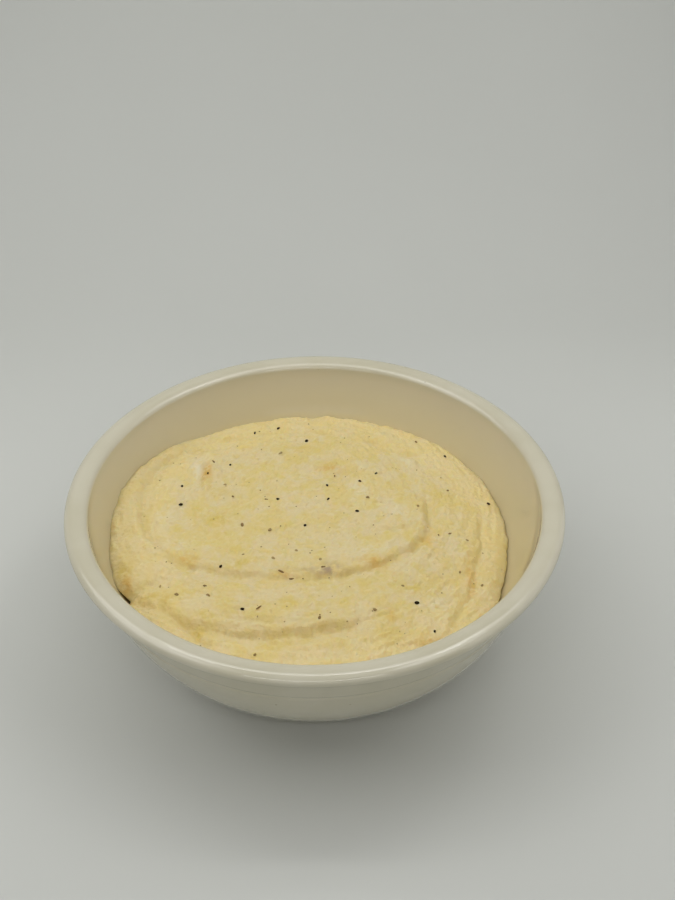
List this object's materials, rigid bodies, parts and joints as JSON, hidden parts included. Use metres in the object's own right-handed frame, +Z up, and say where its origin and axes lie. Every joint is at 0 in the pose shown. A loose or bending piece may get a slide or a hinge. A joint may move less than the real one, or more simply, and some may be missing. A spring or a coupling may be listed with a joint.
{
  "type": "bowl of grits",
  "caption": "Round glazed bowl with a rolled rim, filled with spoon-swirled grits dotted with cracked pepper, standing on its foot ring.",
  "frame": {"origin": "centre of the foot ring, on the surface that the bowl stands on", "axes": "+Z up through the bowl's mouth; +X to the right and -Y towards the diner"},
  "size_m": [0.175, 0.175, 0.066],
  "materials": {
    "glaze": "cream glaze, smooth and glossy with a few tiny specks",
    "grits": "moist pale yellow porridge with a fine grain, satin"
  },
  "bodies": {
    "root": {"bowl": "glaze", "grits": "grits"}
  },
  "joints": []
}
